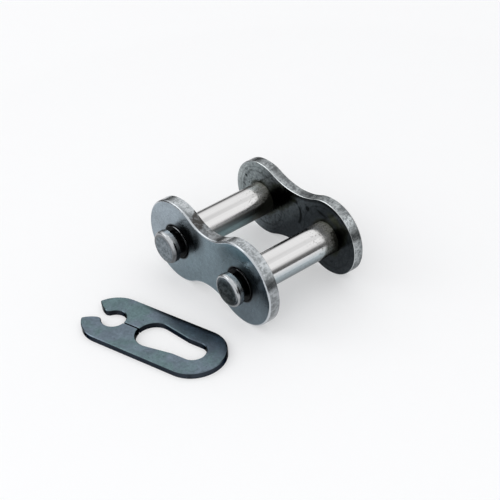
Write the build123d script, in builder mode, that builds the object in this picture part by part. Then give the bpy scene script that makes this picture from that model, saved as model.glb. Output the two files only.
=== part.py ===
from build123d import *
from math import cos, radians, sin, sqrt
import os

# Connecting link of a half-inch roller chain, with its spring clip taken off.
#
# Lengths are in millimetres.  The origin lies midway between the two pins, on
# their axes and halfway between the plates: the middle of the space that the
# chain's inner link fills.  X runs along the chain and Z is up.  Y runs along
# the pins, with the cover plate and the loose clip on its negative side and
# the riveted pin plate on its positive side.

# --- Spacing --------------------------------------------------------------
pitch = 12.7                # from one pin's axis to the other's
plate_gap = 12.8            # clear width between the two plates

# --- Plates ---------------------------------------------------------------
plate_thickness = 1.6
cover_height = 11.5         # across a lobe of the cover plate
pin_plate_height = 10.55    # the plate that the pins are riveted in is a little lower
plate_waist = 7.8           # height of either plate midway between the pins
rolled_edge = 0.28          # width of the rolled edge that the press leaves round a plate's outer face
sharp_edge = 0.06           # break of the edge round a plate's inner face
hole_edge = 0.09            # chamfer at both ends of the cover plate's holes
cover_clearance = 0.05      # between a pin and the cover plate's hole, all round

# --- Pins -----------------------------------------------------------------
pin_diameter = 4.45
neck_diameter = 3.2         # at the bottom of the clip groove
pin_land = 0.13             # full-width barrel left between the cover plate and the groove
groove_width = 0.95
groove_edge = 0.07          # break of the groove's two rims
head_length = 1.05          # from the groove to the pin's end
head_rounding = 0.38        # rounded rim of the pin's end
rivet_height = 0.5          # how far the riveted end stands out of the pin plate
rivet_spread = 0.18         # how far riveting spreads the end beyond the barrel
rivet_chamfer = 0.2

# --- Spring clip ----------------------------------------------------------
clip_thickness = 0.84
clip_width = 8.4
seat_clearance = 0.025      # between the pin's neck and either end of the clip, all round
keyhole_clearance = 0.075   # between the pin's barrel and the clip's keyhole, all round
keyhole_place = 6.39        # from the mouth's seat to the keyhole's centre
taper_end = 10.57           # from the mouth's seat to where the slot's sides turn parallel
slit_width = 0.2            # saw-thin slit that lets the two prongs spring apart
throat = 1.5                # narrowest gap between the prongs' noses
nose_radius = 0.74
nose_sweep = 20.0           # degrees that a nose turns before its outer flank begins
flank_radius = 3.87         # slow curve from a nose to its tip
flank_sweep = 50.0          # degrees that the flank has turned where it reaches the tip
tip_rounding = 0.2
clip_edge = 0.1             # break of the clip's upper edges

# --- Where the loose clip lies, seen from above ---------------------------
clip_across = -5.05         # its mouth's seat, along X from the link's middle
clip_forward = 9.53         # its mouth's seat, in front of the pins' ends
clip_turn = 14.7            # degrees that it points away from the pitch line

# --- Worked out from the sizes above --------------------------------------
pin_radius = pin_diameter / 2
neck_radius = neck_diameter / 2
seat_radius = neck_radius + seat_clearance
keyhole_radius = pin_radius + keyhole_clearance
inner_face = plate_gap / 2
outer_face = inner_face + plate_thickness
groove_start = -(outer_face + pin_land)
groove_end = groove_start - groove_width
pin_end = groove_end - head_length

# The cover plate is the taller one, so on a level surface the link leans back:
# it stands on the cover plate's inner edge and the pin plate's outer edge.
front_foot = -(inner_face + sharp_edge)
back_foot = outer_face - rolled_edge
rest_slope = (cover_height - pin_plate_height) / 2 / (back_foot - front_foot)


def rest_height(y):
    """Height of the surface that the link and the clip rest on, at a place along Y."""
    return -cover_height / 2 + rest_slope * (y - front_foot)


def square_to_pins(y):
    """Drawing plane across the pins: its x is X, its y is Z, and it faces -Y."""
    return Plane.XZ.offset(-y)


def plate_outline(height):
    """Outline of a plate: a round lobe about each pin, joined by two hollow waists.

    A waist's arc is tangent to both lobes and passes through the plate's
    narrowest height, which fixes its radius.
    """
    lobe = height / 2
    half_pitch = pitch / 2
    half_waist = plate_waist / 2
    waist_radius = (half_pitch**2 + half_waist**2 - lobe**2) / (2 * (lobe - half_waist))
    share = lobe / (lobe + waist_radius)
    tangent_x = half_pitch * (1 - share)
    tangent_y = (half_waist + waist_radius) * share
    with BuildSketch(mode=Mode.PRIVATE) as outline:
        with BuildLine():
            ThreePointArc((-tangent_x, tangent_y), (0, half_waist), (tangent_x, tangent_y))
            ThreePointArc((tangent_x, tangent_y), (half_pitch + lobe, 0), (tangent_x, -tangent_y))
            ThreePointArc((tangent_x, -tangent_y), (0, -half_waist), (-tangent_x, -tangent_y))
            ThreePointArc((-tangent_x, -tangent_y), (-half_pitch - lobe, 0), (-tangent_x, tangent_y))
        make_face()
    return outline.sketch


# --- Pin plate: the back plate, which both pins are riveted in -------------
with BuildPart() as pin_plate:
    with BuildSketch(square_to_pins(outer_face)):
        add(plate_outline(pin_plate_height))
    extrude(amount=plate_thickness)
    outer_rim = pin_plate.faces().sort_by(Axis.Y)[-1].edges()
    inner_rim = pin_plate.faces().sort_by(Axis.Y)[0].edges()
    chamfer(outer_rim, rolled_edge)
    chamfer(inner_rim, sharp_edge)
    with BuildSketch(square_to_pins(outer_face)):
        with GridLocations(pitch, 0, 2, 1):
            Circle(pin_radius)
    extrude(amount=plate_thickness, mode=Mode.SUBTRACT)

# --- Cover plate: the front plate, a sliding fit on both pins --------------
with BuildPart() as cover_plate:
    with BuildSketch(square_to_pins(-inner_face)):
        add(plate_outline(cover_height))
    extrude(amount=plate_thickness)
    outer_rim = cover_plate.faces().sort_by(Axis.Y)[0].edges()
    inner_rim = cover_plate.faces().sort_by(Axis.Y)[-1].edges()
    fillet(outer_rim, rolled_edge)
    chamfer(inner_rim, sharp_edge)
    with BuildSketch(square_to_pins(-inner_face)):
        with GridLocations(pitch, 0, 2, 1):
            Circle(pin_radius + cover_clearance)
    extrude(amount=plate_thickness, mode=Mode.SUBTRACT)
    hole_rims = (
        cover_plate.edges()
        .filter_by(GeomType.CIRCLE)
        .filter_by(lambda edge: abs(edge.radius - pin_radius - cover_clearance) < 1e-6)
    )
    chamfer(hole_rims, hole_edge)


def chain_pin(axis_x):
    """One pin: a barrel with a grooved head in front and a riveted end behind."""
    rivet_radius = pin_radius + rivet_spread
    rivet_end = outer_face + rivet_height
    with BuildPart() as pin:
        with BuildSketch(Plane((axis_x, 0, 0))):
            with BuildLine():
                Polyline(
                    (0, pin_end),
                    (pin_radius, pin_end),
                    (pin_radius, groove_end),
                    (neck_radius, groove_end),
                    (neck_radius, groove_start),
                    (pin_radius, groove_start),
                    (pin_radius, outer_face),
                    (rivet_radius, outer_face),
                    (rivet_radius, rivet_end),
                    (0, rivet_end),
                    close=True,
                )
            make_face()
        revolve(axis=Axis((axis_x, 0, 0), (0, 1, 0)))
        rims = pin.edges().filter_by(GeomType.CIRCLE).sort_by(Axis.Y)
        groove_rims = rims.filter_by(
            lambda edge: edge.radius > neck_radius and pin_end < edge.center().Y <= groove_start
        )
        fillet(rims[0], head_rounding)
        chamfer(rims[-1], rivet_chamfer)
        chamfer(groove_rims, groove_edge)
    return pin


# --- Pins: alike, one on each side of the origin ---------------------------
left_pin = chain_pin(-pitch / 2)
right_pin = chain_pin(pitch / 2)

# --- Spring clip: blanked from sheet, lying in front of the link -----------
# Drawn from the centre of the mouth's seat, with x towards its closed end.
clip_y = pin_end - clip_forward
turn = radians(clip_turn)
clip_plane = Plane(
    origin=(clip_across, clip_y, rest_height(clip_y)),
    x_dir=(cos(turn), sin(turn), rest_slope * sin(turn)),
    z_dir=(0, -rest_slope, 1),
)

# Each prong's nose is a round that blends into the seat, at a distance that
# leaves the throat open.  The flank leaves the nose on the same tangent and
# runs out straight past the clip's outline.
def turned(centre, radius, angle):
    """Point of an arc over a prong, where its tangent has turned by so many degrees."""
    return (centre[0] - radius * sin(radians(angle)), centre[1] - radius * cos(radians(angle)))


nose_y = throat / 2 + nose_radius
nose_centre = (-sqrt((seat_radius + nose_radius) ** 2 - nose_y**2), nose_y)
seat_share = seat_radius / (seat_radius + nose_radius)
nose_start = (nose_centre[0] * seat_share, nose_centre[1] * seat_share)
nose_bottom = turned(nose_centre, nose_radius, 0)
flank_centre = turned(nose_centre, nose_radius - flank_radius, nose_sweep)
flank_start = turned(flank_centre, flank_radius, nose_sweep)
flank_middle = turned(flank_centre, flank_radius, (nose_sweep + flank_sweep) / 2)
flank_end = turned(flank_centre, flank_radius, flank_sweep)
run_out = turned(flank_end, clip_width / 2, flank_sweep + 90)

with BuildSketch(Plane.XY) as mouth:
    with BuildLine():
        ThreePointArc(nose_start, nose_bottom, flank_start)
        ThreePointArc(flank_start, flank_middle, flank_end)
        Line(flank_end, run_out)
        mirror(about=Plane.XZ)
        Line(nose_start, (nose_start[0], -nose_start[1]))
        Line(run_out, (run_out[0], -run_out[1]))
    make_face()
    Circle(seat_radius)

with BuildSketch(Plane.XY) as keyhole:
    with Locations((keyhole_place, 0)):
        Circle(keyhole_radius)
    with Locations((taper_end, 0)):
        Circle(seat_radius)
    make_hull()
    with Locations(((taper_end + pitch) / 2, 0)):
        SlotCenterToCenter(pitch - taper_end, 2 * seat_radius)
    with Locations((keyhole_place / 2, 0)):
        Rectangle(keyhole_place, slit_width)

with BuildPart() as spring_clip:
    with BuildSketch(clip_plane):
        with Locations((pitch / 2, 0)):
            SlotCenterToCenter(pitch, clip_width)
        add(mouth.sketch, mode=Mode.SUBTRACT)
        add(keyhole.sketch, mode=Mode.SUBTRACT)
    extrude(amount=clip_thickness)
    upright = spring_clip.edges().filter_by(Axis((0, 0, 0), clip_plane.z_dir))
    tips = upright.sort_by(lambda edge: clip_plane.to_local_coords(edge.center()).X)[:2]
    fillet(tips, tip_rounding)
    top = spring_clip.faces().sort_by(lambda face: clip_plane.to_local_coords(face.center()).Z)[-1]
    chamfer(top.edges(), clip_edge)

# --- One file for each piece ------------------------------------------------
os.makedirs("parts", exist_ok=True)

pin_plate.part.label = "pin_plate"
export_step(pin_plate.part, "parts/pin_plate.step")

left_pin.part.label = "left_pin"
export_step(left_pin.part, "parts/left_pin.step")

right_pin.part.label = "right_pin"
export_step(right_pin.part, "parts/right_pin.step")

cover_plate.part.label = "cover_plate"
export_step(cover_plate.part, "parts/cover_plate.step")

spring_clip.part.label = "spring_clip"
export_step(spring_clip.part, "parts/spring_clip.step")
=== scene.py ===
# %% [markdown]
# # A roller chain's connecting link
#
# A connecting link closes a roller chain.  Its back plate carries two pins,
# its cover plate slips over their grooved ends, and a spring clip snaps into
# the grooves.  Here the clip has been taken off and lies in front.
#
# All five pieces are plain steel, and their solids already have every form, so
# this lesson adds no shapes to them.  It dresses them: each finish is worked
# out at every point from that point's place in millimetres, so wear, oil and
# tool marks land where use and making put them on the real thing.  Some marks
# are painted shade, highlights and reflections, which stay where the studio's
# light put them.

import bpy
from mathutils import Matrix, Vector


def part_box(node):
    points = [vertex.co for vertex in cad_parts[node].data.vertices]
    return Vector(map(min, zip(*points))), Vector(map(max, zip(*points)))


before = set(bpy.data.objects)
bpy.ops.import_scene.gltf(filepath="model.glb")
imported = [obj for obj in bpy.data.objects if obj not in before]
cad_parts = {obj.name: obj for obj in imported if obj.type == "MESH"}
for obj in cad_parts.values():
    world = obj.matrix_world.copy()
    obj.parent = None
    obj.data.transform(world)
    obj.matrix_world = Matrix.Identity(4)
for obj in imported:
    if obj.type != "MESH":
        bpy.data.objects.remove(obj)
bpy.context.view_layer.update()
print("pieces:", sorted(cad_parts))

# %% Libraries and units
from functools import reduce
from math import atan, cos, degrees, pi, radians, sin

import bpy
import numpy as np
from mathutils import Matrix, Vector

MM = 0.001
print("one millimetre is", MM, "of Blender's metres")

# %% [markdown]
# ## Where things are
#
# The link's own frame has its origin midway between the pins, with X along
# the chain, Y along the pins and Z up.  The pins' axes, the plates' faces and
# the pin plate's height are read from the loaded solids, and what is measured
# from them follows if a solid changes.  The place of a single mark, such as a
# scratch, is typed in with the finish that it belongs to.

# %% Places read from the solids
def box_mm(node):
    """Lowest and highest corner of a node, in millimetres."""
    return [[round(float(c) / MM, 3) for c in corner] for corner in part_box(node)]


cover_low, cover_high = box_mm("cover_plate")
cover_front, cover_back = cover_low[1], cover_high[1]
plate_low, plate_high = box_mm("pin_plate")
plate_front, plate_back = plate_low[1], plate_high[1]
plate_height = plate_high[2] - plate_low[2]
pin_low, pin_high = box_mm("right_pin")
pin_x = (pin_low[0] + pin_high[0]) / 2
print("the pins' axes are at x = -/+", round(pin_x, 2), "mm")
print("the plates' faces are at y =", cover_front, cover_back, plate_front, plate_back, "mm")

# %% [markdown]
# ## The table
#
# The cover plate is taller than the pin plate, so on a level table the link
# leans back by two degrees.  The solids are drawn square to their own axes, so
# here the table does the tilting.  A plate's foot is its lowest point measured
# from the table, and the table's slope follows from the two feet, so the two
# are worked out in turn until they settle.

# %% Find how the link stands
def points_mm(node):
    """Every point of a node's mesh, one row each, in millimetres."""
    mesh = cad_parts[node].data
    flat = np.empty(len(mesh.vertices) * 3, dtype=np.float32)
    mesh.vertices.foreach_get("co", flat)
    return flat.reshape(-1, 3) / MM


def resting_plane():
    """Height at y = 0, in millimetres, and slope along y of the table."""
    slope = 0.0
    for _ in range(4):
        feet = []
        for node in ("cover_plate", "pin_plate"):
            points = points_mm(node)
            feet.append(points[np.argmin(points[:, 2] - slope * points[:, 1])])
        slope = (feet[1][2] - feet[0][2]) / (feet[1][1] - feet[0][1])
    return float(feet[0][2] - slope * feet[0][1]), float(slope)


table_height, table_slope = resting_plane()
print("the table slopes", round(degrees(atan(table_slope)), 2), "degrees in the link's frame")

# %% [markdown]
# A large disc of pale card is enough of a table.  It could be one big square,
# but a disc keeps its edge equally far off from every side.  Its points are a
# grid of rings and spokes, worked out as whole arrays, and the same function
# turns any other round piece of the studio.

# %% Make the table
def turned(name, radii, heights, spokes=96):
    """A surface turned about the link's Z axis, standing on the resting plane.

    Ring i has radius r_i and height h_i above the plane, so a point is
    x = r_i cos a, y = r_i sin a, z = plane at y + h_i, for angles a all the way
    round.  The rings run outwards, and one many-sided face closes the middle.
    """
    angles = np.arange(spokes) * 2 * pi / spokes
    x = np.outer(radii, np.cos(angles)).ravel()
    y = np.outer(radii, np.sin(angles)).ravel()
    z = np.repeat(heights, spokes) + table_height * MM + table_slope * y
    ring, spoke = np.meshgrid(np.arange(len(radii) - 1), np.arange(spokes), indexing="ij")
    here = ring * spokes + spoke
    beside = ring * spokes + (spoke + 1) % spokes
    quads = np.stack([here, here + spokes, beside + spokes, beside], axis=-1).reshape(-1, 4)
    mesh = bpy.data.meshes.new(name)
    mesh.from_pydata(np.column_stack([x, y, z]).tolist(), [], quads.tolist() + [list(range(spokes))])
    piece = bpy.data.objects.new(name, mesh)
    bpy.context.scene.collection.objects.link(piece)
    return piece


table_radius = 1.5          # metres
ring_shares = np.linspace(0.05, 1, 16) ** 2     # squared, so the rings crowd towards the link
table = turned("table", table_radius * ring_shares, np.zeros_like(ring_shares))
print("the table has", len(table.data.polygons), "faces")

# %% [markdown]
# ## The camera
#
# A long lens looks down on the link from its front right corner.  Azimuth,
# elevation and roll turn the camera's three axes, and then it backs off from
# the point that it aims at.

# %% Place the camera
azimuth = radians(52.52)
elevation = radians(35.67)
roll = radians(-3.93)
aim = Vector((0.71, -1.73, -0.85)) * MM
distance = 204.5 * MM

backward = Vector((sin(azimuth) * cos(elevation), -cos(azimuth) * cos(elevation), sin(elevation)))
level = Vector((cos(azimuth), sin(azimuth), 0))
upright = backward.cross(level)
rightward = cos(roll) * level + sin(roll) * upright
upward = cos(roll) * upright - sin(roll) * level

lens = bpy.data.cameras.new("camera")
lens.sensor_width = 36
lens.lens = 115.2
lens.clip_start = 0.01
lens.clip_end = 10
camera = bpy.data.objects.new("camera", lens)
turn = Matrix((rightward, upward, backward)).transposed().to_4x4()
camera.matrix_world = Matrix.Translation(aim + distance * backward) @ turn
bpy.context.scene.collection.objects.link(camera)
bpy.context.scene.camera = camera
bpy.context.scene.view_settings.view_transform = "Standard"
print("the camera is at", [round(c / MM, 1) for c in camera.matrix_world.translation], "mm")

# %% [markdown]
# ## Shader maths that reads as Python
#
# A finish is made of masks and patterns, and in the node editor even `1 - mask`
# is a node and three wires.  A small class wraps a socket and gives it
# Python's own operators, so that a mask can be written as a formula.  The
# reflected forms, such as `__rsub__`, are what Python calls where a plain
# number stands on the left.

# %% A number at each point of a surface
class Signal:
    """An output of a shader node; where it carries a number, Python's operators work on it."""

    def __init__(self, nodes, socket):
        self.nodes = nodes
        self.socket = socket

    def math(self, operation, *values):
        """Adds a Math node; a value is a number or another signal."""
        return self.nodes.node("ShaderNodeMath", {"operation": operation}, dict(enumerate(values)))

    def __add__(self, other):
        return self.math("ADD", self, other)

    def __radd__(self, other):
        return self.math("ADD", other, self)

    def __sub__(self, other):
        return self.math("SUBTRACT", self, other)

    def __rsub__(self, other):
        return self.math("SUBTRACT", other, self)

    def __mul__(self, other):
        return self.math("MULTIPLY", self, other)

    def __rmul__(self, other):
        return self.math("MULTIPLY", other, self)

    def __truediv__(self, other):
        return self.math("DIVIDE", self, other)

    def __rtruediv__(self, other):
        return self.math("DIVIDE", other, self)

    def __pow__(self, other):
        return self.math("POWER", self, other)

    def __rpow__(self, other):
        return self.math("POWER", other, self)

    def __neg__(self):
        return self.math("MULTIPLY", self, -1.0)

    def __abs__(self):
        return self.math("ABSOLUTE", self)

    def least(self, other):
        """The smaller of the two."""
        return self.math("MINIMUM", self, other)

    def most(self, other):
        """The larger of the two."""
        return self.math("MAXIMUM", self, other)


print("a mask can now be written as a formula")

# %% [markdown]
# ## Nodes by one call each
#
# Adding a node by hand takes a line to make it, one for each setting and one
# for each wire.  Here one method does all of that: the settings go in first,
# then a value or a wire for each socket, and it hands back an output.

# %% A node tree
class Nodes:
    """A node tree that grows by one call for each node."""

    def __init__(self, tree):
        self.tree = tree

    def node(self, kind, settings=None, inputs=None, output=0):
        """Adds a node and returns one of its outputs as a signal."""
        new = self.tree.nodes.new(kind)
        for name, value in (settings or {}).items():
            if name == "stops":
                self.set_stops(new.color_ramp, value)
            else:
                setattr(new, name, value)
        for name, value in (inputs or {}).items():
            self.feed(new.inputs[name], value)
        return Signal(self, new.outputs[output])

    def outputs(self, kind, names, inputs=None):
        """Adds a node and returns several of its outputs as signals."""
        sockets = self.node(kind, None, inputs).socket.node.outputs
        return [Signal(self, sockets[name]) for name in names]

    def set_stops(self, ramp, stops):
        """Fills a ramp with greys: pairs of position and brightness."""
        ramp.elements.remove(ramp.elements[1])
        for number, (position, grey) in enumerate(stops):
            element = ramp.elements.new(position) if number else ramp.elements[0]
            element.position = position
            element.color = (grey, grey, grey, 1)

    def feed(self, socket, value):
        """Wires a signal into a socket, or sets a plain value on it."""
        if isinstance(value, Signal):
            self.tree.links.new(value.socket, socket)
        else:
            socket.default_value = value

    def show(self, surface):
        """Wires a shader to the tree's output."""
        self.feed(self.tree.get_output_node("ALL").inputs["Surface"], surface)

    def background_ray(self):
        """1 on camera, glossy and transmission rays: those that show what stands behind."""
        rays = ("Is Camera Ray", "Is Glossy Ray", "Is Transmission Ray")
        camera, glossy, transmission = self.outputs("ShaderNodeLightPath", rays)
        return camera + glossy + transmission


WHITE = (1, 1, 1, 1)
BLACK = (0, 0, 0, 1)
print("a node and its wires now take one call")

# %% [markdown]
# ## Masks
#
# A mask is a number that is 1 where a mark lies and 0 elsewhere.  Short words
# make the kinds that steel needs: soft steps from one zone to the next, bands,
# lines and spots.  Lengths are millimetres from the link's middle, so a mask
# reads like a note on a drawing.

# %% Masks in millimetres
class Masks(Nodes):
    """A node tree that knows where a point of the surface is, and which way it faces."""

    def __init__(self, tree):
        super().__init__(tree)
        here, normal = self.outputs("ShaderNodeTexCoord", ("Object", "Normal"))
        self.place = self.node("ShaderNodeVectorMath", {"operation": "SCALE"}, {0: here, "Scale": 1 / MM})
        self.x, self.y, self.z = self.outputs("ShaderNodeSeparateXYZ", "XYZ", {0: self.place})
        facing = self.outputs("ShaderNodeSeparateXYZ", "XYZ", {0: normal})
        self.facing_x, self.facing_y, self.facing_z = facing

    def step(self, value, start, end):
        """0 up to start, 1 from end on, and a smooth rise between them."""
        return self.node("ShaderNodeMapRange", {"interpolation_type": "SMOOTHSTEP"},
                         {"Value": value, "From Min": start, "From Max": end})

    def band(self, value, start, end, soft):
        """1 between start and end, fading to 0 over `soft` on either side."""
        return self.step(value, start - soft, start) * (1 - self.step(value, end, end + soft))

    def line(self, value, centre, width):
        """A soft line of that width: 1 where a value is at its centre, 0 beside it."""
        return 1 - self.step(abs(value - centre), 0.15 * width, 0.5 * width)

    def distance(self, x, z):
        """Millimetres from a line that runs along Y through x and z."""
        offset = self.node("ShaderNodeVectorMath", {"operation": "MULTIPLY_ADD"},
                           {0: self.place, 1: (1, 0, 1), 2: (-x, 0, -z)})
        return self.node("ShaderNodeVectorMath", {"operation": "LENGTH"}, {0: offset}, output="Value")

    def spot(self, x, z, full, gone):
        """1 within `full` millimetres of x, z, 0 beyond `gone`, and a fade between."""
        return 1 - self.step(self.distance(x, z), full, gone)


def reach(first, second, lean):
    """How far two measures at right angles reach in a direction that leans by so many degrees."""
    return first * cos(radians(lean)) + second * sin(radians(lean))


print("masks are measured in millimetres from the link's middle")

# %% [markdown]
# ## A finish
#
# A finish is one material for one kind of surface.  To the masks it adds
# mottling, mixing of colours and relief, and it joins them to the shader.

# %% The finish class
class Finish(Masks):
    """A material with masks, patterns and colours."""

    def __init__(self, name, metallic=1.0, edge_tint=1.0):
        """An edge tint below 1 dims the sheen that metal shows at a grazing angle, as oil does."""
        self.material = bpy.data.materials.new(name)
        self.material.use_nodes = True
        super().__init__(self.material.node_tree)
        self.shader = self.tree.nodes["Principled BSDF"]
        self.shader.inputs["Metallic"].default_value = metallic
        self.shader.inputs["Specular Tint"].default_value = (edge_tint, edge_tint, edge_tint, 1)

    def noise(self, size, detail=3.0, roughness=0.55, stretch=(1, 1, 1), seed=0.0):
        """Mottling between 0 and 1, in blotches about `size` millimetres across.

        A stretch draws the blotches out along X, Y or Z, and a seed slides the
        pattern along, so that two patterns of one size differ.
        """
        squeeze = tuple(1 / (size * s) for s in stretch)
        spread = self.node("ShaderNodeVectorMath", {"operation": "MULTIPLY_ADD"},
                           {0: self.place, 1: squeeze, 2: (seed, seed * 1.7, seed * 0.6)})
        return self.node("ShaderNodeTexNoise", None,
                         {"Vector": spread, "Scale": 1.0, "Detail": detail, "Roughness": roughness})

    def mix(self, amount, first, second):
        """From the first colour to the second; each is three numbers or a signal."""
        first, second = [c if isinstance(c, Signal) else (*c, 1.0) for c in (first, second)]
        # A Mix node's colours are its inputs 6 and 7 and its output 2.
        return self.node("ShaderNodeMix", {"data_type": "RGBA"}, {0: amount, 6: first, 7: second}, output=2)

    def shade(self, colour, factor):
        """A colour made darker or lighter by a factor."""
        return self.node("ShaderNodeVectorMath", {"operation": "SCALE"}, {0: colour, "Scale": factor})

    def complete(self, colour, roughness, height=None, depth=0.0):
        """Joins colour, roughness and a relief of so many millimetres to the shader."""
        self.feed(self.shader.inputs["Base Color"], colour)
        self.feed(self.shader.inputs["Roughness"], roughness)
        if height is not None:
            relief = self.node("ShaderNodeBump", None, {"Distance": depth * MM, "Height": height})
            self.feed(self.shader.inputs["Normal"], relief)
        print(self.material.name, "has", len(self.tree.nodes), "nodes")
        return self.material


print("a finish can now be made by name")

# %% [markdown]
# ## The studio
#
# Polished steel has hardly any colour of its own: it shows what stands around
# it.  The surroundings are plain white, and they light the link from all
# sides.  What the camera and the steel see of them stays at a strength of 1,
# while the light that they give can be set apart from that.

# %% White surroundings
def white_room(light):
    """White of strength 1 wherever it is seen, giving light of the strength asked for."""
    world = bpy.data.worlds.new("white_room")
    bpy.context.scene.world = world
    world.use_nodes = True
    world.node_tree.nodes.remove(world.node_tree.nodes["Background"])
    room = Nodes(world.node_tree)
    giving = room.node("ShaderNodeBackground", None, {"Color": WHITE, "Strength": light})
    seen = room.node("ShaderNodeBackground", None, {"Color": WHITE, "Strength": 1.0})
    room.show(room.node("ShaderNodeMixShader", None, {0: room.background_ray(), 1: giving, 2: seen}))
    return world


room_light = 0.86
print(white_room(room_light).name, "gives light of strength", room_light)

# %% [markdown]
# White alone would leave steel flat.  In a studio, black cards stand round a
# shiny thing, out of view, so that dark lines draw its edges.  Here the cards
# are the hem of a dome.  It is nearly black up to a quarter of its height,
# clears little by little up to two thirds, and is a little grey overhead,
# where a studio has its camera.  It is open in front of the pins' heads, so
# that their rounded rims stay bright.  The dome shows in reflections alone,
# and it throws no shadow.

# %% Stand a black hem round the link
def hem_finish(radius_mm):
    """Nearly black at the foot except in front, clearing higher up, slightly grey at the top."""
    hem = Finish("black_hem", metallic=0.0)
    height = (hem.z - table_height) / radius_mm
    clear_stops = [(0.0, 0.13), (0.25, 0.14), (0.34, 0.33), (0.44, 0.75), (0.555, 0.96),
                   (0.67, 1.0), (0.87, 1.0), (0.97, 0.85)]
    clearness = hem.node("ShaderNodeValToRGB", {"stops": clear_stops}, {"Fac": height})
    opening = hem.step(hem.y / -radius_mm, 0.62, 0.86)
    black = hem.node("ShaderNodeEmission", None, {"Color": BLACK})
    clear = hem.node("ShaderNodeBsdfTransparent")
    hem.show(hem.node("ShaderNodeMixShader", None, {0: clearness.most(opening), 1: black, 2: clear}))
    return hem.material


hem_radius = 0.065          # metres
from_top = np.linspace(radians(3), radians(90), 40)     # each ring's angle down from the dome's top
hem = turned("hem", hem_radius * np.sin(from_top), hem_radius * np.cos(from_top))
hem.visible_camera = hem.visible_diffuse = hem.visible_shadow = False
hem.data.materials.append(hem_finish(hem_radius / MM))
print("the hem has", len(hem.data.polygons), "faces")

# %% [markdown]
# Three softboxes give the light a direction: a main one by the camera, one to
# the left that wakes the left-hand edges, and a weak one overhead.  The main
# one lights the table but is kept out of the reflections, where it would draw
# hard squares on the clip's edges.

# %% Set up the softboxes
softbox_size = 0.26         # metres along each side


def softbox(name, place_mm, radiance):
    """A square lamp aimed at the link; at radiance 1 it is as bright as the surroundings.

    A flat lamp that is seen at radiance L gives pi times L times its area, in watts.
    """
    lamp_data = bpy.data.lights.new(name, "AREA")
    lamp_data.shape = "SQUARE"
    lamp_data.size = softbox_size
    lamp_data.energy = radiance * pi * softbox_size**2
    lamp = bpy.data.objects.new(name, lamp_data)
    lamp.location = Vector(place_mm) * MM
    lamp.rotation_euler = lamp.location.to_track_quat("Z", "Y").to_euler()
    bpy.context.scene.collection.objects.link(lamp)
    return lamp


front_softbox = softbox("front_softbox", (276, -276, 225), 1.5)
front_softbox.visible_glossy = False
softbox("left_softbox", (-276, -276, 225), 1.2)
softbox("top_softbox", (0, 0, 450), 0.3)

# %% [markdown]
# The table is pale card.  A third of what is seen of it is plain white, as a
# well lit sheet looks beside dark steel, and the rest is the card with the
# link's soft shadows on it.

# %% Finish the table
card_tones = (0.932, 0.938, 0.953), (0.942, 0.948, 0.963)


def table_finish(whitened):
    """Pale matt card, with a share of plain white in what is seen of it."""
    card = Finish("pale_card", metallic=0.0)
    fibres = card.noise(3.0, detail=2.0)
    card.complete(card.mix(fibres, *card_tones), roughness=0.9)
    matt = Signal(card, card.shader.outputs["BSDF"])
    white = card.node("ShaderNodeEmission", None, {"Color": WHITE, "Strength": 1.0})
    share = card.background_ray() * whitened
    card.show(card.node("ShaderNodeMixShader", None, {0: share, 1: matt, 2: white}))
    return card.material


table.data.materials.append(table_finish(whitened=0.32))

# %% [markdown]
# ## The plates
#
# A side plate is punched from strip, tumbled and blued.  Its faces come out
# smooth and blue-grey.  Its rim, which the punch has sheared and torn, stays
# paler and mottled, with fine streaks across the thickness, and its edges are
# the first thing to be rubbed bright.  One finish could dress both plates, but
# their wear and oil differ, so each has its own and the two share these parts.

# %% What the two plates share
def plate_zones(steel):
    """Two masks by which way the surface faces: 1 on a plate's faces, and 1 on its rim."""
    along_pins = abs(steel.facing_y)
    return steel.step(along_pins, 0.93, 0.995), 1 - steel.step(along_pins, 0.2, 0.55)


def punched_rim(steel, light, dark, bright_y):
    """A punched rim of streaks, blotches and specks, a little paler next to the plate's face at bright_y."""
    streaks = steel.noise(0.22, detail=2.0, stretch=(1, 4, 1))
    blotches = steel.noise(1.0, detail=4.0, roughness=0.6, seed=3.0)
    specks = steel.noise(0.36, detail=3.0, roughness=0.65, seed=8.0)
    sheared = 1 - steel.step(abs(steel.y - bright_y), 0.2, 0.9)
    amount = steel.step(blotches * 0.55 + streaks * 0.45 + specks * 0.9 + sheared * 0.07, 0.75, 1.19)
    return steel.mix(amount, dark, light), streaks * 0.5 + specks * 0.5


def mottling(steel):
    """Mottles about half a millimetre across, with clear edges."""
    return steel.step(steel.noise(0.42, detail=4.0, roughness=0.7, seed=8.0), 0.3, 0.7)


def fine_grain(steel):
    """Grain about a sixth of a millimetre across, the finest that shows."""
    return steel.noise(0.17, detail=3.0, roughness=0.7, seed=3.0)


def dress(node, material):
    """Puts a finish in every slot of a node."""
    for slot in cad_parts[node].material_slots:
        slot.material = material


print("the plates share their zones, rims and grain")

# %% [markdown]
# ### The cover plate
#
# The cover plate's face is the largest surface, a satin blue-grey that pales
# towards the left lobe and along the top of the right one.  Black grime rings
# each pin, and beside each head a dark patch is painted: the head's reflection
# and shadow on the face.  Colour could be painted on an unwrapped map, but a
# mask made of places needs no map, and its places can be measured on a real
# link.

# %% The cover plate's face
pale_blue = (0.27, 0.32, 0.362)
satin_blue = (0.153, 0.208, 0.24)
dark_blue = (0.107, 0.143, 0.17)
ring_grime = (0.008, 0.009, 0.011)
hole_rim = 2.4              # from a pin's axis to the outer edge of its hole's chamfer

# Each painted reflection of a head: its x and z, the radii where it begins to fade and where it ends, and its
# strength.
painted_head_reflections = [
    (-4.1, 2.0, 1.0, 2.4, 0.9),
    (-3.1, 2.7, 1.3, 3.2, 0.66),
    (7.9, 0.9, 0.6, 2.8, 0.7),
    (8.9, 2.0, 0.6, 3.2, 0.45),
]


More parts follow.
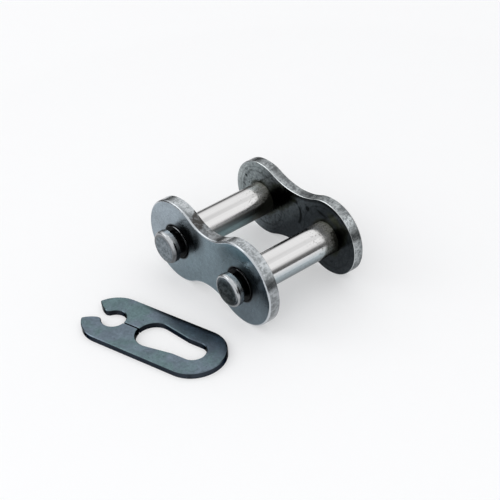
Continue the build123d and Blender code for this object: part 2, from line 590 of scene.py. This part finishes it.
def cover_face(steel, from_pin, clouds, grain):
    """Blued steel, pale to the left and dark to the right, with painted reflections of the heads and grime
    round the pins.
    """
    slanted = steel.x - steel.z * 0.8
    blued = steel.mix(steel.step(slanted, -11.0, -1.0), pale_blue, satin_blue)
    blued = steel.mix(steel.step(slanted, 4.0, 10.0), blued, dark_blue)
    paled = steel.step(steel.z, 3.8, 5.2) * steel.step(steel.x, 1.0, 3.5) * 0.5
    # The heads' dark reflection and shadow on the face are painted here.
    head_reflections = [steel.spot(x, z, full, gone) * strength for x, z, full, gone, strength in painted_head_reflections]
    darkened_by_reflection = reduce(Signal.most, head_reflections)
    texture = 0.36 + clouds * 0.6 + grain * 0.5 + mottling(steel) * 0.18
    blued = steel.shade(blued, texture * (1 + paled) * (1 - darkened_by_reflection))
    ring = 1 - steel.step(from_pin, hole_rim - 0.02, hole_rim + 0.2)
    return steel.mix(ring, blued, ring_grime)


# The count is of the painted reflections of the heads.
print("the cover plate's face has", len(painted_head_reflections), "painted reflections of the heads")

# %% [markdown]
# The cover plate's rim is dull in the waist.  In the waist and on its left the
# punch tore it, which shows as brownish patches that lean across the
# thickness.  A brown patch right of the waist and the darker right end are
# painted shade, for dark surroundings that the rim reflects.

# %% The cover plate's rim
rim_pale = (0.58, 0.61, 0.635)
rim_dark = (0.25, 0.272, 0.283)
torn_and_shade_brown = (0.06, 0.055, 0.051)
cover_middle = (cover_front + cover_back) / 2


def cover_rim(steel):
    """The punched rim, duller in the waist, with punch tears there and on its left, and painted shade right
    of the waist and at the right end.
    """
    rim, relief = punched_rim(steel, rim_pale, rim_dark, cover_back - 0.1)
    dull_waist = steel.band(steel.x, -2.3, 1.7, 2.6) * 0.45
    dull_shoulder = steel.band(steel.x, 2.4, 3.8, 0.7) * 0.25
    rim = steel.shade(rim, (1 - dull_waist) * (1 - dull_shoulder))
    leaning = steel.x + (steel.y - cover_middle) * 0.6
    tear_and_shade = steel.band(leaning, -3.3, -2.0, 0.6) * 0.39 + steel.band(leaning, -1.4, 0.2, 0.9) * 0.17
    # This band right of the waist is painted shade, in the torn patches' brown.
    tear_and_shade = tear_and_shade + steel.band(steel.x, 2.1, 2.9, 0.6) * 0.32
    torn_and_shaded = steel.step(steel.noise(0.38, detail=4.0, roughness=0.65, seed=5.0) + tear_and_shade, 0.66, 0.92)
    rim = steel.mix(torn_and_shaded * 0.92, rim, torn_and_shade_brown)
    # The darker right end is painted shade.
    return steel.shade(rim, 1 - steel.step(steel.x - steel.z * 0.5, 10.0, 12.0) * 0.42), relief


print("the cover plate's rim is centred on y =", round(cover_middle, 2), "mm")

# %% [markdown]
# Face, rim and edges are joined by the masks of which way the surface faces.
# The edges are rubbed bright, apart from the rims of the two holes, which are
# black with grime.

# %% Cover plate
rubbed_bright = (0.52, 0.55, 0.58)
hole_black = (0.004, 0.004, 0.005)


def cover_finish():
    """The cover plate's face, rim and rubbed edges."""
    steel = Finish("cover_plate_steel")
    is_face, is_rim = plate_zones(steel)
    clouds = steel.noise(2.6, detail=5.0, roughness=0.62)
    grain = steel.noise(0.22, detail=2.0)
    from_pin = steel.distance(-pin_x, 0).least(steel.distance(pin_x, 0))
    face = cover_face(steel, from_pin, clouds, grain)
    rim, relief = cover_rim(steel)
    edge = steel.mix(steel.step(from_pin, hole_rim, hole_rim + 0.2), hole_black, rubbed_bright)
    colour = steel.mix(is_face, steel.mix(is_rim, edge, rim), face)
    gummed = 1 - steel.step(from_pin, hole_rim + 0.2, hole_rim + 2.4)
    roughness = 0.14 + clouds * 0.06 + grain * 0.04 + gummed * 0.14
    return steel.complete(colour, roughness, grain * is_face * 0.5 + relief * is_rim, 0.003)


dress("cover_plate", cover_finish())

# %% [markdown]
# ### The pin plate
#
# The pin plate's inner face is darker, because oil has crept over it from the
# pins.  The chain that ran against it has left rubbed rings round each pin, a
# curved scratch and a few nicks.  Rings and arcs are lines of equal distance
# from a centre, so a distance and a narrow band draw them.  An oval is drawn
# in the same way, and noise added to its distance makes its edge ragged.  Two
# dark ragged ovals, to the upper right of the pins, are the painted reflection
# and shadow of the pins.

# %% Marks on the pin plate
def oval_mark(steel, x, z, lean, long, wide, ragged=0.0):
    """An oval round x, z, 1 in its middle; it leans by so many degrees."""
    along = reach(steel.x - x, steel.z - z, lean)
    off = reach(steel.x - x, steel.z - z, lean + 90)
    oval = ((along / long) ** 2 + (off / wide) ** 2) ** 0.5
    return 1 - steel.step(oval + ragged, 0.7, 1.6)


def chain_marks(steel, left, right, grain):
    """Rubbed rings about both pins, one curved scratch, nicks, pits and dots, on the inner face only."""
    ripple = steel.noise(0.8, detail=2.0, seed=7.0)
    rings = steel.line(left + ripple * 0.5, 4.15, 0.5) + steel.line(left + ripple * 0.6, 4.8, 0.3) * 0.6
    rings = rings + steel.line(right + ripple * 0.4, 4.5, 0.3) * 0.8
    rings = rings + steel.line(right + ripple, 3.9, 0.3) * 0.5
    # The scratch bows over the plate's middle, then turns down along an arc on its right.
    scratch = steel.line(steel.distance(-1.0, 1.0), 2.4, 0.6) * steel.band(steel.z, -0.3, 2.0, 0.3)
    scratch = scratch * steel.step(steel.x, 0.5, 0.9)
    bowed = steel.z + (steel.x - 0.05) ** 2 * 0.12
    scratch = scratch.most(steel.line(bowed, 2.65, 0.85) * steel.band(steel.x, -1.4, 0.7, 0.3))
    nicks = steel.spot(2.78, 2.69, 0.25, 0.5) + oval_mark(steel, 5.5, 3.2, -11.0, 0.8, 0.17)
    pits = steel.step(steel.noise(0.5, detail=3.0, seed=4.0), 0.62, 0.7)
    dots = steel.step(steel.noise(0.34, detail=2.0, seed=12.0), 0.54, 0.66) * (1 - steel.step(left, 3.5, 4.1))
    marks = rings * steel.step(grain, 0.38, 0.55) * 0.6 + scratch * 0.95 + nicks * 0.95 + pits * 0.6
    return (marks + dots * 0.6) * steel.step(-steel.facing_y, 0.9, 0.99)


def oil_and_pin_reflections(steel, left, right):
    """A painted reflection and shadow of each pin to its upper right, and an oily ring close round both."""
    ragged = (steel.noise(1.0, detail=4.0, seed=9.0) - 0.5) * 0.9
    ragged = ragged + (steel.noise(0.36, detail=3.0, roughness=0.65, seed=11.0) - 0.5) * 1.1
    # Painted reflection and shadow of the left pin, then of the right pin.
    oil_and_reflection = oval_mark(steel, -2.7, 1.9, 39.0, 2.8, 1.3, ragged)
    oil_and_reflection = oil_and_reflection.most(oval_mark(steel, 8.7, 1.0, 60.0, 2.0, 0.8, ragged) * 0.85)
    return oil_and_reflection.most((1 - steel.step(left.least(right) + ragged, 2.2, 2.8)) * 0.5)


print("the pin plate's marks and oil are ready")

# %% [markdown]
# Under the marks, the face goes from pale steel at its left end to dark
# blueing, darkest at the lower right, and a line of grime follows its outline
# inside the upper right edge.  How deep a point lies inside the outline is its
# distance from one of two arcs: the lobe about the pin, or the hollow waist,
# whose circle stands above the plate.

# %% The pin plate's face
pale_steel = (0.42, 0.45, 0.455)
grey_steel = (0.235, 0.267, 0.274)
dull_blue = (0.085, 0.096, 0.103)
black_blue = (0.042, 0.048, 0.053)

half_waist = 3.9            # half of the plate's height midway between the pins
lobe_radius = plate_height / 2
waist_radius = (pin_x**2 + half_waist**2 - lobe_radius**2) / (2 * (lobe_radius - half_waist))


def grimed_edge(steel):
    """A line of grime just inside the outline's top, from the waist to the right lobe."""
    lobe_depth = lobe_radius - steel.distance(pin_x, 0)
    waist_depth = steel.distance(0, half_waist + waist_radius) - waist_radius
    depth = waist_depth + (lobe_depth - waist_depth) * steel.step(steel.x, 4.1, 4.2)
    upper_right = steel.band(steel.x, 0.0, 9.0, 1.5) * steel.step(steel.z, 0.0, 1.0)
    return steel.band(depth, 0.1, 0.35, 0.3) * upper_right


def pin_plate_face(steel, clouds, grain):
    """Pale steel at the left end, dull blueing, black blueing at the lower right, all mottled."""
    above_slant = reach(steel.x + 2.7, steel.z - 1.4, 39.7 + 90)
    face = steel.mix(steel.step(above_slant, -3.6, -1.4), black_blue, dull_blue)
    lobe = steel.x - steel.z * 0.5
    face = steel.mix(1 - steel.step(lobe, -10.2, -5.6), face, grey_steel)
    face = steel.mix(1 - steel.step(lobe, -13.2, -10.0), face, pale_steel)
    low_left = (1 - steel.step(steel.x, -8.5, -4.0)) * (1 - steel.step(steel.z, -4.0, -2.0))
    face = steel.shade(face, (0.5 * clouds + 1.1 * grain + 0.4 * mottling(steel)) * (1 + low_left))
    return steel.shade(face, 1 - grimed_edge(steel) * 0.6)


print("the waist is an arc of radius", round(waist_radius, 2), "mm")

# %% [markdown]
# The pin plate's rim carries painted highlights in a few places, for light
# that it reflects.  Grime has settled in the waist and on the left lobe's top,
# and two narrow dark bands, one on that lobe and one right of the waist, are
# painted shade.

# %% The pin plate's rim
plate_rim_pale = (0.44, 0.468, 0.478)
plate_rim_dark = (0.148, 0.161, 0.168)
rim_grime_and_shade = (0.07, 0.073, 0.074)


def pin_plate_rim(steel):
    """The punched rim, with painted highlights at the shoulders and the right end, grime in the waist, and
    bands of painted shade.
    """
    rim, relief = punched_rim(steel, plate_rim_pale, plate_rim_dark, plate_front)
    rim = steel.shade(rim, 0.64 + fine_grain(steel) * 0.72)
    # Painted highlights, for light that the rim reflects at these places.
    painted_highlight = steel.band(steel.x, 3.3, 4.7, 0.6) * 1.3 + steel.band(steel.x, -9.8, -8.2, 0.4) * 1.8
    painted_highlight = painted_highlight + steel.band(steel.x, 9.7, 10.3, 0.5) * (1.3 - steel.step(steel.z, -2.4, -1.4) * 0.9)
    rim = steel.shade(rim, 1 + painted_highlight)
    grimed_and_shaded = steel.band(steel.x, -4.4, -3.4, 1.2) * 0.4 + steel.band(steel.x, 0.9, 1.8, 0.7) * 0.4
    # This narrow band on the left lobe is painted shade.
    grimed_and_shaded = grimed_and_shaded + steel.band(steel.x, -7.7, -7.3, 0.4) * 0.15
    grimed_and_shaded = grimed_and_shaded * steel.step(steel.y, plate_front + 0.2, plate_front + 0.6)
    # This band right of the waist is painted shade.
    grimed_and_shaded = grimed_and_shaded + steel.band(steel.x, 2.2, 3.2, 0.4) * 0.1
    return steel.mix(grimed_and_shaded, rim, rim_grime_and_shade), relief


print("the pin plate's rim is ready")

# %% [markdown]
# On the face the oily rings round the pins and the painted reflections of the
# pins are black, olive along their fringes.  The inner edge was rubbed bright,
# and the outer one stayed dark.

# %% Pin plate
mark_black = (0.01, 0.011, 0.012)
olive_fringe = (0.05, 0.055, 0.036)
reflection_and_oil_black = (0.004, 0.0038, 0.003)
inner_edge = (0.55, 0.58, 0.59)
outer_edge = (0.11, 0.116, 0.118)


def pin_plate_finish():
    """The pin plate's face with its marks, oily rings and painted reflections, its rim and its two edges."""
    steel = Finish("pin_plate_steel", edge_tint=0.45)
    is_face, is_rim = plate_zones(steel)
    clouds = steel.noise(1.5, detail=5.0, roughness=0.62, seed=2.0)
    grain = steel.noise(0.26, detail=3.0, seed=1.0)
    left = steel.distance(-pin_x, 0)
    right = steel.distance(pin_x, 0)
    marks = chain_marks(steel, left, right, grain)
    oil_and_reflection = oil_and_pin_reflections(steel, left, right)
    face = steel.mix(marks, pin_plate_face(steel, clouds, grain), mark_black)
    # Olive along the fringes of the oily rings and of the painted reflections.
    olive = (oil_and_reflection * (1 - oil_and_reflection) * 2.4).most(oval_mark(steel, 7.9, 3.3, -25.0, 1.1, 0.5) * 0.7)
    face = steel.mix(olive, face, olive_fringe)
    # Black over the oily rings and the painted reflections of the pins.
    face = steel.mix(oil_and_reflection * 0.97, face, reflection_and_oil_black)
    rim, relief = pin_plate_rim(steel)
    edge = steel.mix(steel.step(-steel.facing_y, 0.1, 0.4), outer_edge, inner_edge)
    colour = steel.mix(is_face, steel.mix(is_rim, edge, rim), face)
    roughness = 0.17 + clouds * 0.08 + grain * 0.06
    return steel.complete(colour, roughness, grain * is_face * 0.5 + relief * is_rim, 0.003)


dress("pin_plate", pin_plate_finish())

# %% [markdown]
# ## The pins
#
# Each pin is turned, hardened and ground, so between the plates it is the
# brightest thing here.  Grinding leaves faint rings, and sliding on and off
# leaves faint lines along the pin.  Its underside is painted bluer and darker,
# as painted reflection and shade, and a faint dark stripe near its top is a
# painted reflection.  On the left pin's inner side a painted dark reflection
# covers the lower side, darkest along its upper edge.  The masks for these
# read which way the surface faces.

# %% Ground barrels
ground_dull = (0.71, 0.705, 0.705)
ground_bright = (0.85, 0.845, 0.845)
reflected_tint_left = (0.63, 0.91, 0.97)
reflected_tint_right = (0.5, 0.59, 0.635)


def ground_barrel(steel, on_left):
    """Ground steel with faint rings and lines, a painted dark reflection in a stripe near its top and a
    painted bluer reflection on its underside.
    """
    rings = steel.noise(0.07, detail=2.0, stretch=(60, 1, 60))
    lines = steel.noise(0.28, detail=3.0, stretch=(1, 40, 1))
    barrel = steel.mix(rings * 0.4 + lines * 0.6, ground_dull, ground_bright)
    # A painted reflection: a faint dark stripe along the barrel's top.
    dark_stripe = steel.band(steel.facing_z, 0.84, 0.9, 0.06) * steel.step(steel.facing_x, 0.1, 0.3)
    barrel = steel.shade(barrel, 1 - dark_stripe * (0.06 + lines * 0.16))
    # A painted reflection: the underside is tinted bluer.
    painted_underside = 1 - steel.step(steel.facing_z, -0.1, 0.4)
    reflected_tint = steel.mix(on_left, reflected_tint_right, reflected_tint_left)
    return steel.mix(painted_underside * 0.85, barrel, reflected_tint), rings


def barrel_painted_shade(steel, on_left, under):
    """The share of its colour that a barrel keeps under painted shade on its underside and under the painted
    dark reflection on the left pin's inner side.
    """
    inner_side = steel.step(steel.facing_x, 0.0, 0.3) * on_left
    # Painted dark reflection on the left pin's inner side, darkest along its upper edge.
    reflected_shade = steel.band(steel.facing_z, -0.6, 0.05, 0.22) * (0.58 + steel.step(steel.y, -0.5, 3.2) * 0.3)
    line_deepening = steel.step(steel.facing_z, 0.05, 0.28) * 0.18 + steel.step(steel.y, 0.5, 3.0) * 0.1
    dark_line = steel.band(steel.facing_z, -0.02, 0.27, 0.16) * (0.5 + line_deepening)
    kept_share = (1 - reflected_shade * inner_side) * (1 - dark_line * inner_side)
    # Painted shade on the underside of both pins.
    return (1 - under * (0.39 - on_left * 0.14)) * kept_share


print("the barrels' ground steel is ready")

# %% [markdown]
# A stain of dried oil creeps out from the pin plate.  It comes first as specks
# and a thin, curdled skin, then turns black near the plate, and it reaches
# further out low on the barrel than on top.  So the stain is worked out from
# Y with noise added, and the way that the surface faces shifts it.

# %% Stain on the barrels
skin_dark = (0.19, 0.195, 0.15)
skin_pale = (0.5, 0.495, 0.44)
speck_brown = (0.1, 0.1, 0.085)
stain_black = (0.02, 0.02, 0.016)


def stain_barrel(steel, barrel, on_left, under):
    """The barrel with its stain and specks over it, and a mask of the thin stain."""
    smudge = steel.noise(0.9, detail=5.0, roughness=0.65) - 0.5
    flecks = steel.noise(0.25, detail=3.0, roughness=0.65, seed=2.0) - 0.5
    downward = 1 - steel.step(steel.facing_z, 0.1, 0.95)
    creep = steel.y + smudge * 1.8 + flecks * 2.2 + downward * (0.6 + on_left * 0.7)
    thin = steel.step(creep, 3.7, 7.0)
    off_top = 1 - steel.step(steel.facing_z, 0.7, 0.97)
    lower = 1 - steel.step(steel.facing_z + (1 - on_left) * 0.7, 0.24, 0.48)
    dark_zone = steel.step(creep + off_top * 1.5 + lower * 1.5, 6.4, 8.2)
    curds = steel.noise(0.55, detail=4.0, roughness=0.7, stretch=(0.7, 1.4, 0.7), seed=6.0)
    skin = steel.mix(steel.step(curds, 0.36, 0.64), skin_dark, skin_pale)
    barrel = steel.mix(thin, barrel, skin)
    specks = steel.step(flecks + smudge * 0.5, 0.05, 0.2) * steel.step(steel.y, 1.0, 5.0) * 0.75
    specks = specks.most(steel.step(flecks, 0.05, 0.15) * under * 0.45)
    barrel = steel.mix(specks, barrel, speck_brown)
    return steel.mix(dark_zone, barrel, stain_black), thin


def pin_barrel(steel, on_left):
    """The barrel's colour, and masks of its stain, of the left pin's dimmed side and of its rings."""
    under = 1 - steel.step(steel.facing_z, -0.5, 0.45)
    barrel, rings = ground_barrel(steel, on_left)
    barrel = steel.shade(barrel, barrel_painted_shade(steel, on_left, under))
    barrel, stain = stain_barrel(steel, barrel, on_left, under)
    dimmed = (1 - steel.step(steel.facing_z, 0.35, 0.6)) * on_left * 0.8
    return barrel, stain, dimmed, rings


print("the barrels are ready")

# %% [markdown]
# In front of the cover plate the groove is near-black, blackest by the plate,
# and on its upper side a narrow land beside the plate carries a painted
# highlight.  The pin's end keeps the dull scale of hardening; it is darker on
# the right pin, partly as a painted reflection of the dark clip before it.

# %% Groove and end of a pin
groove_back = -8.13         # y of the groove's side by the cover plate
groove_front = -9.08        # y of its other side, where the head begins

groove_black = (0.008, 0.0085, 0.009)
groove_dull = (0.045, 0.047, 0.05)
land_highlight = (0.2, 0.21, 0.22)
left_scale = (0.125, 0.149, 0.166), (0.29, 0.326, 0.356)
# The right end's darker scale is partly a painted reflection of the clip.
right_scale_and_reflection = (0.035, 0.043, 0.047), (0.19, 0.212, 0.212)


def pin_groove(steel, mottle, upward, on_right):
    """Near-black in the groove, blackest by the cover plate, and a painted highlight on the upper side of the
    land behind it.
    """
    blackest = steel.step(steel.y, groove_front + 0.13, groove_back - 0.27)
    land = steel.step(steel.y, groove_back - 0.09, groove_back - 0.03)
    # A painted highlight on the land's upper side.
    painted_highlight = upward * steel.step(mottle, 0.35, 0.6) * (1 - on_right * 0.7)
    return steel.mix(land * painted_highlight, steel.mix(blackest, groove_dull, groove_black), land_highlight)


def pin_scale(steel, on_right):
    """The end's mottled scale, darker on the right pin, partly as a painted reflection of the clip."""
    scale = steel.step(steel.noise(0.5, detail=4.0, roughness=0.7, seed=3.0), 0.36, 0.64)
    end = steel.mix(on_right, steel.mix(scale, *left_scale), steel.mix(scale, *right_scale_and_reflection))
    return steel.shade(end, 0.6 + fine_grain(steel) * 0.8)


print("the groove is", round(groove_back - groove_front, 2), "mm wide")

# %% [markdown]
# The head's side is grey and pitted, lighter on top and darker below with
# painted light and shade, and a painted dark reflection draws a line round part
# of it.  Its rounded rim has been rubbed bright, and painted shade darkens its
# lower side.  Groove, side, rim and end follow one another along the pin, so
# their masks are steps along Y and in the way that the surface faces.

# %% Heads of the pins
dark_arc_at = -9.68           # y of the painted dark reflection line round the head

side_lit_grey = (0.56, 0.58, 0.59)
left_side_shade = (0.03, 0.033, 0.036)
right_side_shade = (0.3, 0.315, 0.33)
head_rim_tones = (0.42, 0.44, 0.46), (0.58, 0.6, 0.62)


def painted_dark_arc(steel):
    """A painted reflection: a dark line round the head, over part of its right-hand side."""
    climb = steel.facing_z / steel.facing_x.most(0.01)      # tangent of the angle up round the pin
    part = steel.band(climb, 0.3, 0.75, 0.2) * steel.step(steel.facing_x, 0.0, 0.1)
    return steel.line(steel.y, dark_arc_at, 0.32) * part


def pin_head(steel, mottle, on_right):
    """Groove, side, rounded rim and end of the grooved head."""
    upward = steel.step(steel.facing_z, 0.05, 0.8)
    # Painted light and shade: the side is lighter on top and darker below.
    painted_underside = steel.mix(on_right, left_side_shade, right_side_shade)
    side = steel.shade(steel.mix(upward, painted_underside, side_lit_grey), 0.55 + mottle * 0.9)
    # Painted shade darkens the rim's lower side.
    low = 1 - steel.step(steel.facing_z, -0.1, 0.35)
    rim = steel.shade(steel.mix(mottle, *head_rim_tones), 1 - low * (0.65 - on_right * 0.3))
    in_head = 1 - steel.step(steel.y, groove_front - 0.02, groove_front + 0.06)
    rounded = steel.step(-steel.facing_y, 0.02, 0.3) * in_head
    # The dark line round the head is a painted reflection.
    head = steel.shade(steel.mix(rounded, side, rim), 1 - painted_dark_arc(steel) * 0.95)
    # The flat that keeps its scale lies inside the rounded rim, and a little low.
    left_flat, right_flat = [steel.spot(axis + 0.03, -0.14, 1.62, 1.86) for axis in (-pin_x, pin_x)]
    is_end = steel.step(-steel.facing_y, 0.88, 0.99) * in_head * left_flat.most(right_flat)
    head = steel.mix(in_head, pin_groove(steel, mottle, upward, on_right), head)
    return steel.mix(is_end, head, pin_scale(steel, on_right))


print("the heads are ready")

# %% [markdown]
# A pin's three stretches, the head in front of the plates, the barrel between
# them and the riveted end behind, come together in one finish.  The steel is
# less metallic under its stain, because dried oil scatters light by itself.

# %% Pins
rivet_tones = (0.2, 0.205, 0.21), (0.36, 0.365, 0.37)


def pin_finish():
    """Barrel between the plates, head in front of them and riveted end behind."""
    steel = Finish("ground_pin_steel", edge_tint=0.65)
    mottle = steel.noise(0.32, detail=3.0, seed=3.0)
    on_right = steel.step(steel.x, -1.0, 1.0)
    barrel, stain, dimmed, rings = pin_barrel(steel, 1 - on_right)
    in_front = 1 - steel.step(steel.y, cover_front, cover_front + 0.05)
    behind = steel.step(steel.y, plate_back - 0.1, plate_back)
    colour = steel.mix(in_front, barrel, pin_head(steel, mottle, on_right))
    colour = steel.mix(behind, colour, steel.mix(mottle, *rivet_tones))
    steel.feed(steel.shader.inputs["Metallic"], 1 - stain * (1 - behind) * 0.35)
    roughness = 0.11 + in_front * 0.1 + stain.most(dimmed) * 0.25 + behind * 0.15 + mottle * 0.05
    relief = rings * (1 - in_front) * 0.25 + mottle * (in_front + behind)
    return steel.complete(colour, roughness, relief, 0.004)


pin_steel = pin_finish()
dress("left_pin", pin_steel)
dress("right_pin", pin_steel)

# %% [markdown]
# ## The spring clip
#
# The clip is stamped from spring strip, hardened and oil-blued, which leaves
# it darker and greener than the plates.  Its top shows broad clouds, bluer and
# greener by turns, and small pits.  Towards the closed end on the link's side
# it is darkened by a painted reflection of the link, and a painted dark
# reflection runs along its edge on that side, which the stamping rolled.  Its
# cut sides are almost black, with painted shade inside the openings, and the
# prongs' tips are painted a lighter grey, for the light that they catch.  The
# clip lies at a slant, so its masks are measured along and across the clip
# itself.

# %% The clip's top and walls
clip_seat_x, clip_seat_y = -5.05, -19.66        # the middle of the round seat in the clip's mouth
clip_turn = 14.7                                # degrees from X to the clip's length

top_green = (0.14, 0.206, 0.22)
top_blue = (0.158, 0.2, 0.243)
top_reflected_dark = (0.045, 0.06, 0.078)
wall_black = (0.022, 0.027, 0.036)
wall_dark = (0.05, 0.06, 0.075)
tip_lit_grey = (0.15, 0.182, 0.205)


def clip_top(steel, along, across, clouds, specks):
    """Blued top with clouds, specks and pits, and painted dark reflections at the closed end and along the
    link-side edge.
    """
    pits = steel.step(steel.noise(0.45, detail=2.0, seed=2.0), 0.68, 0.75)
    bluer = steel.step(steel.noise(3.2, detail=3.0, seed=4.0), 0.38, 0.62)
    blued = steel.mix(bluer, top_green, top_blue)
    # A painted reflection of the link darkens the closed end on the link's side.
    dark_zone = steel.step(along + across * 1.5 + clouds * 2, 8.2, 14.4) * steel.step(across, -1.5, 3.8)
    # A painted dark reflection along the edge on the link's side.
    edge_reflection = steel.step(across, 3.4, 3.9) * steel.step(along, 0.5, 5.0)
    top = steel.mix(dark_zone, blued, top_reflected_dark)
    return steel.shade(top, (0.14 + clouds * 0.84 + specks * 0.88 - pits * 0.35) * (1 - edge_reflection * 0.8))


def clip_wall(steel, along, across, clouds):
    """Almost black cut sides with painted shade inside the openings, and a mask of the prongs' tips, painted
    a lighter grey.
    """
    facing_along = reach(steel.facing_x, steel.facing_y, clip_turn)
    inside = (1 - steel.step(abs(across), 3.5, 3.9)) * (1 - steel.step(along, 14.6, 15.2))
    wall = steel.mix(clouds, wall_black, wall_dark)
    # Painted shade inside the openings, deepest on walls that face the closed end.
    wall = steel.shade(wall, 1 - inside * (0.3 + 0.4 * steel.step(facing_along, 0.1, 0.7)))
    # The prongs' tips are painted lighter grey, for the light that they catch.
    tips = steel.step(-facing_along, 0.35, 0.8) * (1 - steel.step(along, -1.4, -0.8))
    return steel.mix(tips, wall, tip_lit_grey), tips


print("the clip's top and walls are ready")

# %% [markdown]
# Between the top and the walls runs a narrow break of the edge.  It takes the
# top's colour, with painted shade where it faces the link.  The prongs' tips,
# painted a lighter grey, are made hardly metallic so that the room lights them.

# %% Spring clip
def clip_finish():
    """Oil-blued spring steel: clouded on top, nearly black on its cut sides."""
    steel = Finish("blued_clip_steel", edge_tint=0.3)
    along = reach(steel.x - clip_seat_x, steel.y - clip_seat_y, clip_turn)
    across = reach(steel.x - clip_seat_x, steel.y - clip_seat_y, clip_turn + 90)
    is_top = steel.step(abs(steel.facing_z), 0.9, 0.98)
    is_wall = 1 - steel.step(abs(steel.facing_z), 0.1, 0.4)
    clouds = steel.noise(1.6, detail=5.0, roughness=0.6)
    specks = steel.noise(0.36, detail=4.0, roughness=0.65, seed=6.0)
    top = clip_top(steel, along, across, clouds, specks)
    # Painted shade on the edge where it faces the link.
    edge = steel.shade(top, 0.9 - steel.step(steel.facing_y, 0.0, 0.3) * 0.8)
    wall, tips = clip_wall(steel, along, across, clouds)
    # The painted-light tips are made hardly metallic.
    steel.feed(steel.shader.inputs["Metallic"], 1 - tips * is_wall * 0.9)
    colour = steel.mix(is_top, steel.mix(is_wall, edge, wall), top)
    return steel.complete(colour, 0.13 + clouds * 0.06 + specks * 0.06, specks, 0.003)


dress("spring_clip", clip_finish())

# %% Finish
print("every piece is dressed")
